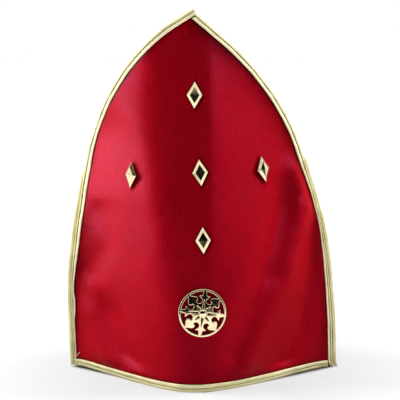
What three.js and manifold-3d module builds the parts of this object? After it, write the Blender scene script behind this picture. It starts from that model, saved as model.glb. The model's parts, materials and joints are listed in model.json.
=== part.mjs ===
// Pointed mitre hat: two stiffened red cloth panels bound with folded gold tape,
// five rhombic studs in a cross and a pierced round medallion on the front panel.
// Millimetres, +Z up, front towards -Y. The hem stands on z = 0.
import * as THREE from 'three';
import { mergeVertices } from 'three/addons/utils/BufferGeometryUtils.js';
import Module from 'manifold-3d';

// Sections of one panel from hem to peak. The middle line leans to the left as it rises, and the
// other columns are measured from it: edge is half the outline's width, seam half the width of
// the tube that the two panels form (above the notch the outline is cut inside it), depth is the
// distance from the seams to the ridge, and the flares round the outward turn at the seams.
const SECTIONS = [
  { height: 0, middle: 0, edge: 123.1, seam: 123.1, depth: 80.4, leftFlare: 0.09, rightFlare: 0.17 },
  { height: 45, middle: -1.5, edge: 123.1, seam: 123.1, depth: 77.8, leftFlare: 0.08, rightFlare: 0.14 },
  { height: 85, middle: -3.2, edge: 121.5, seam: 121.5, depth: 73.6, leftFlare: 0.07, rightFlare: 0.1 },
  { height: 125, middle: -3.8, edge: 116.9, seam: 116.9, depth: 67.8, leftFlare: 0.06, rightFlare: 0.07 },
  { height: 160, middle: -5.2, edge: 110.3, seam: 110.3, depth: 62.2, leftFlare: 0.05, rightFlare: 0.05 },
  { height: 195, middle: -7.4, edge: 102.1, seam: 102.6, depth: 57.4, leftFlare: 0.05, rightFlare: 0.05 },
  { height: 225, middle: -8.7, edge: 92.1, seam: 98.8, depth: 54.2, leftFlare: 0.05, rightFlare: 0.05 },
  { height: 255, middle: -10.5, edge: 77.6, seam: 97.8, depth: 51.4, leftFlare: 0.05, rightFlare: 0.05 },
  { height: 282, middle: -12.5, edge: 59.5, seam: 97.4, depth: 49.0, leftFlare: 0.05, rightFlare: 0.05 },
  { height: 302, middle: -13.7, edge: 41.8, seam: 97.2, depth: 47.4, leftFlare: 0.05, rightFlare: 0.05 },
  { height: 320, middle: -14.2, edge: 21.9, seam: 97.0, depth: 46.0, leftFlare: 0.05, rightFlare: 0.05 },
  { height: 336, middle: -11.0, edge: 0, seam: 97.0, depth: 44.8, leftFlare: 0.05, rightFlare: 0.05 },
];
const PEAK_HEIGHT = SECTIONS.at(-1).height;
const RIDGE_SHIFT = -9.9; // the round ridge of each panel lies left of the middle line
const RIDGE_ROUND = { left: 28, right: 50 }; // rounding of the bend on each hand of the ridge

// Creases of the front panel: how far they have set in over the round ridge, where the left side
// turns away, a second turn that runs out to the left edge with its share of the whole bend, and
// the share of a line pressed upright right of the middle.
const CREASES = [
  { height: 0, set: 0, leftTurn: -38, upperTurn: -38, upperShare: 0, pressShare: 0 },
  { height: 45, set: 0.35, leftTurn: -33, upperTurn: -33, upperShare: 0, pressShare: 0.03 },
  { height: 85, set: 0.7, leftTurn: -29, upperTurn: -29, upperShare: 0, pressShare: 0.08 },
  { height: 125, set: 0.95, leftTurn: -37, upperTurn: -37, upperShare: 0, pressShare: 0.2 },
  { height: 160, set: 1, leftTurn: -40.5, upperTurn: -40.5, upperShare: 0, pressShare: 0.27 },
  { height: 195, set: 1, leftTurn: -40.5, upperTurn: -42, upperShare: 0.12, pressShare: 0.33 },
  { height: 225, set: 1, leftTurn: -39, upperTurn: -48, upperShare: 0.26, pressShare: 0.38 },
  { height: 255, set: 1, leftTurn: -37.5, upperTurn: -66, upperShare: 0.28, pressShare: 0.4 },
  { height: 282, set: 1, leftTurn: -36, upperTurn: -84, upperShare: 0.28, pressShare: 0.32 },
  { height: 302, set: 1, leftTurn: -35, upperTurn: -95, upperShare: 0.28, pressShare: 0.12 },
  { height: 320, set: 1, leftTurn: -34, upperTurn: -98, upperShare: 0.28, pressShare: 0.02 },
  { height: 336, set: 1, leftTurn: -33, upperTurn: -98, upperShare: 0.28, pressShare: 0 },
];
const PRESSED_LINE = 6.5; // x of the pressed line
const RIGHT_TURN = 40; // the right side turns away here, from the middle line
const CREASE_ROUND = { left: 14, upper: 11, pressed: 4, right: 45 };
const HAND_SHARE = 0.5; // the bends on each hand make half of the turn from seam to seam
// The left hem corner stands off the ground: the lift grows from a distance left of the middle
// line over its reach, and fades out with the height.
const CORNER_LIFT = { height: 1.8, start: 30, reach: 93, fade: 120 };

// Soft folds of the front panel: a crest (or a dent where height is negative) along a line of
// places, each an x from the middle line and a height. It fades out towards a bound edge over calm.
const FRONT_FOLDS = [
  { line: [[86, 206], [95, 166], [79, 91], [59, 56], [41, 23]], width: 12, height: 4.0, calm: 9 },
  { line: [[72, 166], [60, 130], [43, 78], [26, 31]], width: 12, height: -2.6, calm: 22 },
  { line: [[109, 138], [101, 119], [97, 78], [90, 42], [73, 14]], width: 10, height: -4.0, calm: 9 },
  { line: [[-97, 158], [-91, 132], [-92, 120], [-100, 104], [-104, 76]], width: 8, height: -3.4, calm: 8 },
  { line: [[-109, 66], [-101, 46], [-95, 28], [-87, 13]], width: 8, height: 2.6, calm: 8 },
  { line: [[-96, 74], [-84, 54], [-77, 35], [-67, 16]], width: 8, height: -3.6, calm: 8 },
  { line: [[-101, 164], [-68, 170], [-49, 169]], width: 15, height: 0.8, calm: 16 },
];

// Cloth and tape.
const CLOTH_HALF = 1.0; // half the thickness of a panel
const MARGIN_HALF = 0.5; // half the thickness of the margin pressed inside the tape
const TAPE_WIDTH = 7;
const TAPE_WALL = 1.0;
const TAPE_CREST = 1.9; // half the thickness of the folded tape at its two soft crests
const TAPE_GROOVE = 1.5; // half the thickness along the stitched line between them
const CREST_PLACES = [0.22, 0.78]; // shares of the width where the crests run
const LIP = { inside: 1.05, outside: 1.6 }; // offsets of the tape's free edge
const GAP = 0.3;
const SLOT_HALF = 1.0; // half the inner width of the folded tape
const RAW_EDGE = TAPE_WALL + GAP; // the cloth's cut edge lies this far inside the fold
const MARGIN_START = TAPE_WIDTH + 1; // the cloth swells from the tape's lip
const MARGIN_END = TAPE_WIDTH + 3.2; // to its full thickness here
// Middle of each margin from the seam plane, and its change with x: the lapped tapes then lie a
// gap apart at both seams.
const SEAM_HALF = { middle: 1.45, slant: 0.0017 };

// Side seams: below the notch the back tape shows outside the front tape, less so near the notch.
const SEAM_LAP = { hem: 3.8, top: 2.2, taperFrom: 135, taperTo: 185 };
const NOTCH = { left: 192, right: 204 };
const NOTCH_STEP = 6; // height over which the back tape steps in again at the notch
const PEAK_LAP = 0.8; // the left tape runs on past the peak by this height

// Mesh density.
const EDGE_STATIONS = 30;
const LENGTH_STEPS = 400; // steps that the outline's length is added up in
const TOP_CLEAR = 1; // no shared station lies this close under a piece's own top
const STEP = 0.05; // distance over which slopes are taken
const PANEL_COLUMNS = { front: 22, back: 10 };
const COLUMN_CROWDING = { front: 1, back: 1.35 }; // above 1 the columns crowd together along the ridge
const TIP_SHARE = 0.8; // share of a narrow row near the peak that the margins may take
const TIP_CLEAR = 2 * RAW_EDGE; // the cloth's top row lies this far below the peak

// Studs: a rhombus with a steep bevel and a low pyramid on top.
const STUD = { width: 13.8, height: 23.6, skirt: 0.5, bevelTop: 2.0, bevelInset: 0.62, apex: 2.9 };
const STUD_PLACES = [
  { name: 'stud_top', x: 2.8, z: 261.4, turn: 5 },
  { name: 'stud_left', x: -57.4, z: 189.6, turn: 9 },
  { name: 'stud_centre', x: 4.1, z: 193.4, turn: -2 },
  { name: 'stud_right', x: 60.8, z: 193.3, turn: -9 },
  { name: 'stud_bottom', x: 3.4, z: 134.3, turn: 0 },
];

// Medallion: a ring, a rosette with eight arms and a round hub, on a shallow dome.
const MEDALLION = { x: 1.2, z: 71.0, turn: 10, radius: 21.4, thickness: 1.3, dome: 2.4 };
const RING_WIDTH = 1.9;
const RING_SEGMENTS = 20; // for each half turn
const ROSETTE_SEGMENTS = 8;
const ROSETTE_RADIUS = 10.6;
const HUB = { radius: 3.2, rise: 1.3, steps: 3, segments: 16 };
const ARM_HOLE = { radius: 2.5, place: 11.7, segments: 5 };
const ARM_COUNT = 8;
// Half outlines of the two kinds of arm: distance from the hub and half width there.
const LILY_ARM = [
  { along: 8, half: 2.6 },
  { along: 11.2, half: 1.7 },
  { along: 12.4, half: 4.6 },
  { along: 14.4, half: 4.9 },
  { along: 14.8, half: 1.5 },
  { along: 16.8, half: 2.3 },
  { along: 20.2, half: 0.7 },
];
const LEAF_ARM = [
  { along: 8, half: 2.6 },
  { along: 10.4, half: 2.0 },
  { along: 12.6, half: 4.4 },
  { along: 14.8, half: 4.9 },
  { along: 17.4, half: 3.0 },
  { along: 20.2, half: 0.7 },
];
const LILY_SLIT = { start: 3.6, end: 10.2, half: 0.75 };
const LEAF_SLIT = { start: 3.6, end: 7.0, half: 0.75 };

const redCloth = new THREE.MeshStandardMaterial({ color: 0xa80c20, roughness: 0.5, metalness: 0 });
const goldTape = new THREE.MeshStandardMaterial({ color: 0xd2bf76, roughness: 0.4, metalness: 0.7 });
const polishedGold = new THREE.MeshStandardMaterial({ color: 0xe0c06a, roughness: 0.15, metalness: 1 });

const radians = THREE.MathUtils.degToRad;
const smooth = THREE.MathUtils.smoothstep;

// Smooth value of one column of a table at a height, by cubic Hermite pieces.
function tableValue(table, column, height) {
  const last = table.length - 1;
  const slopeAt = (i) => {
    const a = table[Math.max(i - 1, 0)];
    const b = table[Math.min(i + 1, last)];
    return (b[column] - a[column]) / (b.height - a.height);
  };
  let i = 0;
  while (i < last - 1 && height > table[i + 1].height) i += 1;
  const from = table[i];
  const to = table[i + 1];
  const span = to.height - from.height;
  const t = (height - from.height) / span;
  if (t > 1) return to[column] + slopeAt(last) * (height - to.height);
  const start = from[column] * (2 * t ** 3 - 3 * t ** 2 + 1);
  const end = to[column] * (3 * t ** 2 - 2 * t ** 3);
  const leave = slopeAt(i) * span * (t ** 3 - 2 * t ** 2 + t);
  const arrive = slopeAt(i + 1) * span * (t ** 3 - t ** 2);
  return start + end + leave + arrive;
}

const sectionValue = (column, height) => tableValue(SECTIONS, column, height);
const creaseValue = (column, height) => tableValue(CREASES, column, height);

// A rounded crease: distance d from the crease line, straight slopes beyond the rounding.
const crease = (d, rounding) => Math.hypot(d, rounding) - rounding;

// A panel: side is -1 at the front and +1 at the back, a lapped one is wider at the seams.
const front = {
  side: -1,
  lapped: false,
  creased: true,
  folds: FRONT_FOLDS,
  columns: PANEL_COLUMNS.front,
  crowding: COLUMN_CROWDING.front,
};
const back = {
  side: 1,
  lapped: true,
  creased: false,
  folds: [],
  columns: PANEL_COLUMNS.back,
  crowding: COLUMN_CROWDING.back,
};

// Half width of the outline on one hand (-1 left, +1 right) at a height.
function edgeAt(panel, hand, z) {
  const edge = sectionValue('edge', z);
  if (!panel.lapped) return edge;
  const notch = hand < 0 ? NOTCH.left : NOTCH.right;
  const taper = smooth(z, SEAM_LAP.taperFrom, SEAM_LAP.taperTo);
  const lap = THREE.MathUtils.lerp(SEAM_LAP.hem, SEAM_LAP.top, taper);
  return edge + lap * (1 - smooth(z, notch - NOTCH_STEP, notch));
}

// Outward height of the soft folds at a place on the panel.
function foldHeight(panel, x, z) {
  const place = new THREE.Vector3(x, z, 0);
  const clear = Math.min(sectionValue('edge', z) - Math.abs(x), z) - TAPE_WIDTH;
  let total = 0;
  for (const { line, width, height, calm } of panel.folds) {
    const corners = line.map(([cornerX, cornerZ]) => new THREE.Vector3(cornerX, cornerZ, 0));
    const aways = corners.slice(1).map((corner, i) => {
      const run = new THREE.Line3(corners[i], corner);
      return run.closestPointToPoint(place, true, new THREE.Vector3()).distanceTo(place);
    });
    total += smooth(clear, 0, calm) * height * Math.exp(-((Math.min(...aways) / width) ** 2));
  }
  return total;
}

// Fall of a plain round ridge: 0 on the ridge and 1 at either seam.
function ridgeFall(x, seam) {
  const isLeft = x < RIDGE_SHIFT;
  const rounding = isLeft ? RIDGE_ROUND.left : RIDGE_ROUND.right;
  const reach = crease((isLeft ? -seam : seam) - RIDGE_SHIFT, rounding);
  return crease(x - RIDGE_SHIFT, rounding) / reach;
}

// Fall of the creased front: four bends share the turn from one seam to the other.
function creasedFall(x, z, seam) {
  const left = creaseValue('leftTurn', z);
  const upper = creaseValue('upperTurn', z);
  const pressed = PRESSED_LINE - sectionValue('middle', z);
  const upperShare = creaseValue('upperShare', z);
  const pressShare = creaseValue('pressShare', z);
  const bends = (at) =>
    (HAND_SHARE - upperShare) * Math.hypot(at - left, CREASE_ROUND.left) +
    upperShare * Math.hypot(at - upper, CREASE_ROUND.upper) +
    pressShare * Math.hypot(at - pressed, CREASE_ROUND.pressed) +
    (HAND_SHARE - pressShare) * Math.hypot(at - RIGHT_TURN, CREASE_ROUND.right);
  const ridge = (left + pressed) / 2;
  const end = x < ridge ? -seam : seam;
  return (bends(x) - bends(ridge)) / (bends(end) - bends(ridge));
}

// Distance of the panel's middle surface from the seam plane.
function bulge(panel, x, z) {
  const seam = sectionValue('seam', z) + (panel.lapped ? SEAM_LAP.hem : 0);
  let fall = ridgeFall(x, seam);
  if (panel.creased) {
    fall = THREE.MathUtils.lerp(fall, creasedFall(x, z, seam), creaseValue('set', z));
  }
  const flare = sectionValue(x < 0 ? 'leftFlare' : 'rightFlare', z);
  const share = crease(1 - fall, flare) / crease(1, flare);
  const margin = SEAM_HALF.middle + SEAM_HALF.slant * x;
  return margin + sectionValue('depth', z) * share + foldHeight(panel, x, z);
}

// Rate of change of a function of one number, by a central difference.
const rateOf = (value, at) => (value(at + STEP) - value(at - STEP)) / (2 * STEP);

// Slope of the bulge across the panel.
const bulgeSlope = (panel, x, z) => rateOf((place) => bulge(panel, place, z), x);

// Height by which the left hem corner stands off the ground.
function cornerLift(x, z) {
  const out = THREE.MathUtils.clamp((-x - CORNER_LIFT.start) / CORNER_LIFT.reach, 0, 1);
  const low = THREE.MathUtils.clamp(1 - z / CORNER_LIFT.fade, 0, 1);
  return CORNER_LIFT.height * out ** 2 * low ** 2;
}

// Point of a panel: x across from the leaning middle line, height z, offset out from the middle.
function panelPoint(panel, x, z, offset) {
  const slope = bulgeSlope(panel, x, z);
  const length = Math.hypot(slope, 1);
  return new THREE.Vector3(
    x + sectionValue('middle', z) - (offset * slope) / length,
    panel.side * (bulge(panel, x, z) + offset / length),
    z + cornerLift(x, z),
  );
}

// Directions on the middle surface at an outline point: along the edge and square to it, inwards.
function edgeFrame(panel, hand, z) {
  const x = hand * edgeAt(panel, hand, z);
  const rate = rateOf((height) => hand * edgeAt(panel, hand, height), z);
  const lean = rateOf((height) => sectionValue('middle', height), z);
  const across = bulgeSlope(panel, x, z);
  const upward = rateOf((height) => bulge(panel, x, height), z);
  const E = 1 + across ** 2;
  const F = lean + across * upward;
  const G = 1 + lean ** 2 + upward ** 2;
  const inward = new THREE.Vector2(-(F * rate + G), E * rate + F).multiplyScalar(hand);
  const length = Math.sqrt(E * inward.x ** 2 + 2 * F * inward.x * inward.y + G * inward.y ** 2);
  const along = Math.sqrt(E * rate ** 2 + 2 * F * rate + G);
  return {
    x,
    inward: inward.divideScalar(length),
    widen: along / Math.sqrt(E * G - F ** 2), // level distance for each millimetre square to the edge
  };
}

// Closed body through a row of closed sections with flat ends.
function loft(sections, capFaces) {
  const count = sections[0].length;
  const positions = sections.flat().flatMap((point) => [point.x, point.y, point.z]);
  const index = [];
  for (let row = 0; row + 1 < sections.length; row += 1) {
    for (let i = 0; i < count; i += 1) {
      const a = row * count + i;
      const b = row * count + ((i + 1) % count);
      index.push(a, b, b + count, a, b + count, a + count);
    }
  }
  const top = (sections.length - 1) * count;
  for (const [a, b, c] of capFaces) {
    index.push(a, c, b, top + a, top + b, top + c);
  }
  const geometry = new THREE.BufferGeometry();
  geometry.setAttribute('position', new THREE.Float32BufferAttribute(positions, 3));
  geometry.setIndex(index);
  return facingOut(geometry);
}

// Turns every triangle round if the body is inside out.
function facingOut(geometry) {
  const place = geometry.getAttribute('position');
  const index = geometry.getIndex();
  const corner = [new THREE.Vector3(), new THREE.Vector3(), new THREE.Vector3()];
  let volume = 0;
  for (let i = 0; i < index.count; i += 3) {
    corner.forEach((point, k) => point.fromBufferAttribute(place, index.getX(i + k)));
    volume += corner[0].dot(corner[1].cross(corner[2])) / 6;
  }
  if (volume < 0) {
    for (let i = 0; i < index.count; i += 3) {
      const second = index.getX(i + 1);
      index.setX(i + 1, index.getX(i + 2));
      index.setX(i + 2, second);
    }
  }
  geometry.computeVertexNormals();
  return geometry;
}

// Heights along the outline up to a top height, evenly spaced by its length. The cloth and its
// tapes share them, and so they bend alike. The steps at the two notches are kept.
function stationHeights(panel, topHeight) {
  const heightAt = (i) => (PEAK_HEIGHT * i) / LENGTH_STEPS;
  const lengths = [0];
  for (let i = 1; i <= LENGTH_STEPS; i += 1) {
    const rise = heightAt(i) - heightAt(i - 1);
    const run = sectionValue('edge', heightAt(i)) - sectionValue('edge', heightAt(i - 1));
    lengths.push(lengths[i - 1] + Math.hypot(rise, run));
  }
  let heights = [];
  for (let k = 0; k < EDGE_STATIONS; k += 1) {
    const wanted = (lengths.at(-1) * k) / (EDGE_STATIONS - 1);
    heights.push(heightAt(lengths.findIndex((length) => length >= wanted)));
  }
  if (panel.lapped) {
    const marks = [NOTCH.left, NOTCH.right].flatMap((z) => [z - NOTCH_STEP, z - NOTCH_STEP / 2, z]);
    heights = heights.filter((z) => marks.every((mark) => Math.abs(z - mark) > NOTCH_STEP / 4));
    heights = [...heights, ...marks].sort((first, second) => first - second);
  }
  return [...heights.filter((z) => z < topHeight - TOP_CLEAR), topHeight];
}

// Places across a panel at a height between two insets from its edges.
function columnPlaces(panel, z, inset) {
  const [left, right] = [-1, 1].map((hand) => {
    const { x, widen } = edgeFrame(panel, hand, z);
    const room = Math.abs(x) - RAW_EDGE * widen;
    const squeeze = Math.min(1, (TIP_SHARE * room) / ((MARGIN_END - RAW_EDGE) * widen));
    return x - hand * widen * (RAW_EDGE + (inset - RAW_EDGE) * squeeze);
  });
  const ridge = THREE.MathUtils.clamp(RIDGE_SHIFT, left / 2, right / 2);
  const places = [];
  for (let i = 0; i <= panel.columns; i += 1) {
    const share = (2 * i) / panel.columns - 1;
    const end = share < 0 ? left : right;
    places.push(ridge + (end - ridge) * Math.abs(share) ** panel.crowding);
  }
  return places;
}

// Cloth wall of a panel, row by row from the hem to the peak.
function panelGeometry(panel) {
  const heights = [RAW_EDGE, TAPE_WIDTH, MARGIN_END];
  const stations = stationHeights(panel, PEAK_HEIGHT - TIP_CLEAR);
  heights.push(...stations.filter((z) => z > MARGIN_END + GAP));
  const rows = heights.map((z) => {
    const main = columnPlaces(panel, z, MARGIN_END);
    const margin = columnPlaces(panel, z, TAPE_WIDTH);
    const cut = columnPlaces(panel, z, RAW_EDGE);
    const columns = [cut[0], margin[0], ...main, margin.at(-1), cut.at(-1)];
    const half = (x) => {
      const frame = edgeFrame(panel, x < 0 ? -1 : 1, z);
      const clear = Math.min(Math.abs(frame.x - x) / frame.widen, z);
      return MARGIN_HALF + (CLOTH_HALF - MARGIN_HALF) * smooth(clear, MARGIN_START, MARGIN_END);
    };
    const outside = columns.map((x) => panelPoint(panel, x, z, half(x)));
    const inside = columns.map((x) => panelPoint(panel, x, z, -half(x)));
    return [...outside, ...inside.reverse()];
  });
  const count = rows[0].length;
  const caps = [];
  for (let i = 0; i + 1 < count / 2; i += 1) {
    caps.push([i, i + 1, count - 2 - i], [i, count - 2 - i, count - 1 - i]);
  }
  return loft(rows, caps);
}

// Section of the folded tape: inset from the fold and offset from the middle of the cloth.
const TAPE_SECTION = [
  { inset: TAPE_WIDTH, offset: LIP.inside },
  { inset: TAPE_WIDTH, offset: LIP.outside },
  { inset: TAPE_WIDTH * CREST_PLACES[1], offset: TAPE_CREST },
  { inset: TAPE_WIDTH / 2, offset: TAPE_GROOVE },
  { inset: TAPE_WIDTH * CREST_PLACES[0], offset: TAPE_CREST },
  { inset: 0, offset: SLOT_HALF },
  { inset: 0, offset: -SLOT_HALF },
  { inset: TAPE_WIDTH * CREST_PLACES[0], offset: -TAPE_CREST },
  { inset: TAPE_WIDTH / 2, offset: -TAPE_GROOVE },
  { inset: TAPE_WIDTH * CREST_PLACES[1], offset: -TAPE_CREST },
  { inset: TAPE_WIDTH, offset: -LIP.outside },
  { inset: TAPE_WIDTH, offset: -LIP.inside },
  { inset: TAPE_WALL, offset: -SLOT_HALF },
  { inset: TAPE_WALL, offset: SLOT_HALF },
];
const TAPE_CAP = THREE.ShapeUtils.triangulateShape(
  TAPE_SECTION.map(({ inset, offset }) => new THREE.Vector2(inset, offset)),
  [],
);

// Folded tape along one edge of a panel. The left length runs past the peak, and the right
// length stops against the left one's inner side.
function edgeTapeGeometry(panel, hand) {
  const halfAngle = Math.atan(sectionValue('edge', PEAK_HEIGHT - 1));
  const clear = TAPE_WIDTH + 3 * GAP;
  const outerStop = clear / Math.sin(2 * halfAngle);
  const innerStop = (clear + TAPE_WIDTH * Math.cos(2 * halfAngle)) / Math.sin(2 * halfAngle);
  const stopHeight = (stop) => {
    if (hand < 0) return PEAK_HEIGHT + PEAK_LAP;
    return PEAK_HEIGHT - stop * Math.cos(halfAngle);
  };
  const heights = stationHeights(panel, stopHeight(outerStop));
  const sections = heights.map((z, k) => {
    const innerHeight = k === heights.length - 1 ? stopHeight(innerStop) : z;
    const inner = edgeFrame(panel, hand, innerHeight);
    const start = new THREE.Vector2(hand * edgeAt(panel, hand, z), z);
    const end = new THREE.Vector2(inner.x, innerHeight).addScaledVector(inner.inward, TAPE_WIDTH);
    if (k === 0) end.y = 0;
    return TAPE_SECTION.map(({ inset, offset }) => {
      const place = start.clone().lerp(end, inset / TAPE_WIDTH);
      return panelPoint(panel, place.x, place.y, offset);
    });
  });
  return loft(sections, TAPE_CAP);
}

// Folded tape along the hem, between the two side tapes, with a section at each column of the cloth.
function hemTapeGeometry(panel) {
  const stations = panel.columns + 2;
  const sections = [];
  for (let k = 0; k <= stations; k += 1) {
    const section = TAPE_SECTION.map(({ inset, offset }) => {
      const ends = columnPlaces(panel, inset, TAPE_WIDTH + GAP);
      const places = [ends[0], ...columnPlaces(panel, inset, MARGIN_END), ends.at(-1)];
      return panelPoint(panel, places[k], inset, offset);
    });
    sections.push(section);
  }
  return loft(sections, TAPE_CAP);
}

// Group standing on the outside of the front panel, its +Z pointing out and +Y up the cloth.
function seatOnFront({ x, z, turn }) {
  const seat = panelPoint(front, x, z, CLOTH_HALF + GAP);
  const east = panelPoint(front, x + 1, z, 0).sub(panelPoint(front, x - 1, z, 0));
  const north = panelPoint(front, x, z + 1, 0).sub(panelPoint(front, x, z - 1, 0));
  const out = east.clone().cross(north).normalize();
  const right = north.clone().cross(out).normalize();
  const basis = new THREE.Matrix4().makeBasis(right, out.clone().cross(right), out);
  const group = new THREE.Group();
  group.position.copy(seat);
  group.quaternion.setFromRotationMatrix(basis);
  group.rotateZ(radians(-turn));
  return group;
}

// Rhombic stud with its long axis along Y, on z = 0.
function studGeometry() {
  const profile = [
    new THREE.Vector2(0, 0),
    new THREE.Vector2(1, 0),
    new THREE.Vector2(1, STUD.skirt),
    new THREE.Vector2(STUD.bevelInset, STUD.bevelTop),
    new THREE.Vector2(0, STUD.apex),
  ];
  const geometry = new THREE.LatheGeometry(profile, 4);
  geometry.rotateX(Math.PI / 2);
  geometry.scale(STUD.width / 2, STUD.height / 2, 1);
  return closedPositions(geometry);
}

// Keeps the positions alone, with shared corners merged and empty triangles dropped.
function closedPositions(geometry) {
  const bare = geometry.clone();
  bare.deleteAttribute('normal');
  bare.deleteAttribute('uv');
  const merged = mergeVertices(bare, 1e-3);
  const index = merged.getIndex().array;
  const kept = [];
  for (let i = 0; i < index.length; i += 3) {
    const [a, b, c] = index.subarray(i, i + 3);
    if (a !== b && b !== c && c !== a) kept.push(a, b, c);
  }
  merged.setIndex(kept);
  return facingOut(merged);
}

const wasm = await Module();
wasm.setup();

// Solid for joining and cutting.
function toSolid(geometry) {
  const closed = closedPositions(geometry);
  return new wasm.Manifold(
    new wasm.Mesh({
      numProp: 3,
      vertProperties: new Float32Array(closed.getAttribute('position').array),
      triVerts: new Uint32Array(closed.getIndex().array),
    }),
  );
}

function fromSolid(solid) {
  const mesh = solid.getMesh();
  const geometry = new THREE.BufferGeometry();
  geometry.setAttribute('position', new THREE.Float32BufferAttribute(mesh.vertProperties, 3));
  geometry.setIndex(Array.from(mesh.triVerts));
  return geometry;
}

// Plate of the medallion's thickness with a given outline.
const plate = (shape, curveSegments) =>
  toSolid(
    new THREE.ExtrudeGeometry(shape, {
      depth: MEDALLION.thickness,
      bevelEnabled: false,
      curveSegments,
    }),
  );

// Plate that reaches past both faces, for cutting.
const cutter = (shape, curveSegments) =>
  plate(shape, curveSegments).scale([1, 1, 3]).translate([0, 0, -MEDALLION.thickness]);

const disc = (radius) => new THREE.Shape().absarc(0, 0, radius, 0, 2 * Math.PI);

// Arm pointing along +Y, mirrored about its axis.
function armShape(table) {
  const right = table.map(({ along, half }) => new THREE.Vector2(half, along));
  const left = table.map(({ along, half }) => new THREE.Vector2(-half, along)).reverse();
  return new THREE.Shape([...right, ...left]);
}

const slitShape = ({ start, end, half }) =>
  new THREE.Shape([
    new THREE.Vector2(-half, start),
    new THREE.Vector2(half, start),
    new THREE.Vector2(0, end),
  ]);

function medallionGeometry() {
  const ring = disc(MEDALLION.radius);
  ring.holes.push(disc(MEDALLION.radius - RING_WIDTH));
  let solid = plate(ring, RING_SEGMENTS).add(plate(disc(ROSETTE_RADIUS), ROSETTE_SEGMENTS));
  const pitch = 360 / ARM_COUNT;
  for (let i = 0; i < ARM_COUNT; i += 1) {
    const isLily = i % 2 === 0;
    const arm = plate(armShape(isLily ? LILY_ARM : LEAF_ARM), 1);
    solid = solid.add(arm.rotate([0, 0, i * pitch]));
  }
  for (let i = 0; i < ARM_COUNT; i += 1) {
    const isLily = i % 2 === 0;
    const slit = cutter(slitShape(isLily ? LILY_SLIT : LEAF_SLIT), 1);
    const hole = cutter(disc(ARM_HOLE.radius), ARM_HOLE.segments).translate([0, ARM_HOLE.place, 0]);
    solid = solid.subtract(slit.rotate([0, 0, i * pitch]));
    solid = solid.subtract(hole.rotate([0, 0, (i + 0.5) * pitch]));
  }
  const hubProfile = [new THREE.Vector2(0, 0), new THREE.Vector2(HUB.radius, 0)];
  for (let step = 0; step <= HUB.steps; step += 1) {
    const angle = (step / HUB.steps) * (Math.PI / 2);
    const rise = MEDALLION.thickness + HUB.rise * Math.sin(angle);
    hubProfile.push(new THREE.Vector2(HUB.radius * Math.cos(angle), rise));
  }
  hubProfile.at(-1).x = 0;
  solid = solid.add(toSolid(new THREE.LatheGeometry(hubProfile, HUB.segments).rotateX(Math.PI / 2)));
  const geometry = fromSolid(solid);
  const place = geometry.getAttribute('position');
  for (let i = 0; i < place.count; i += 1) {
    const reach = Math.hypot(place.getX(i), place.getY(i)) / MEDALLION.radius;
    place.setZ(i, place.getZ(i) + MEDALLION.dome * (1 - reach ** 2));
  }
  return facingOut(geometry);
}

const hat = new THREE.Group();
hat.name = 'mitre_hat';

function addPiece(parent, name, geometry, material) {
  const mesh = new THREE.Mesh(geometry, material);
  mesh.name = name;
  parent.add(mesh);
}

for (const [label, panel] of [['front', front], ['back', back]]) {
  addPiece(hat, `${label}_panel`, panelGeometry(panel), redCloth);
  addPiece(hat, `${label}_edge_left`, edgeTapeGeometry(panel, -1), goldTape);
  addPiece(hat, `${label}_edge_right`, edgeTapeGeometry(panel, 1), goldTape);
  addPiece(hat, `${label}_hem_tape`, hemTapeGeometry(panel), goldTape);
}

for (const place of STUD_PLACES) {
  const seat = seatOnFront(place);
  addPiece(seat, place.name, studGeometry(), polishedGold);
  hat.add(seat);
}

const medallionSeat = seatOnFront(MEDALLION);
addPiece(medallionSeat, 'medallion', medallionGeometry(), polishedGold);
hat.add(medallionSeat);

export default hat;
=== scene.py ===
import json
import math

import bpy
import numpy as np
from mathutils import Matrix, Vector
from mathutils.geometry import delaunay_2d_cdt

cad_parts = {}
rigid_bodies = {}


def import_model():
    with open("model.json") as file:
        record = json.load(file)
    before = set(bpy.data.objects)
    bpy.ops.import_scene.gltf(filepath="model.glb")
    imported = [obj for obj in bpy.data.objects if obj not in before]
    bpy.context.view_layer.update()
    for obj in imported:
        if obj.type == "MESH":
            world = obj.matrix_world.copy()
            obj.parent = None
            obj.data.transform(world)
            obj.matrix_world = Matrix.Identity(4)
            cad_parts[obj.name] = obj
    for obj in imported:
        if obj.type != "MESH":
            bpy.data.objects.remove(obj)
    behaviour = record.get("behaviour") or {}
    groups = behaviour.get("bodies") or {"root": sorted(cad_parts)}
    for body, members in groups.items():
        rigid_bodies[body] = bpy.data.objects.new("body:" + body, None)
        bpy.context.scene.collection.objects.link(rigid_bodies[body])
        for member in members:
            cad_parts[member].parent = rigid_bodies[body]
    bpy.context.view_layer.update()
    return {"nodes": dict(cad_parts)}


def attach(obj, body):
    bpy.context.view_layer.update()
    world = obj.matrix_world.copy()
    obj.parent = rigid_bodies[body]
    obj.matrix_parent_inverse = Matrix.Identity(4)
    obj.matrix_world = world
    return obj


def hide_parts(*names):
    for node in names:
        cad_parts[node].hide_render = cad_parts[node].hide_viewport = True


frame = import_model()
scene = bpy.context.scene
mm = 0.001  # the form's tables are in millimetres
print("frame loaded:", len(frame["nodes"]), "nodes")

cameraSetup = {
    "place": (-0.0033, -1.100, 0.321),  # metres
    "pitchDown": 8.3,  # degrees
    "focalPixels": 1188,
    "framePixels": 400,
    "sensor": 36,
}


def makeCamera(setup):
    data = bpy.data.cameras.new("camera")
    data.sensor_width = setup["sensor"]
    data.lens = setup["sensor"] * setup["focalPixels"] / setup["framePixels"]
    camera = bpy.data.objects.new("camera", data)
    camera.location = setup["place"]
    camera.rotation_euler = (math.radians(90 - setup["pitchDown"]), 0, 0)
    scene.collection.objects.link(camera)
    scene.camera = camera


makeCamera(cameraSetup)
print("camera placed")

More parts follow.
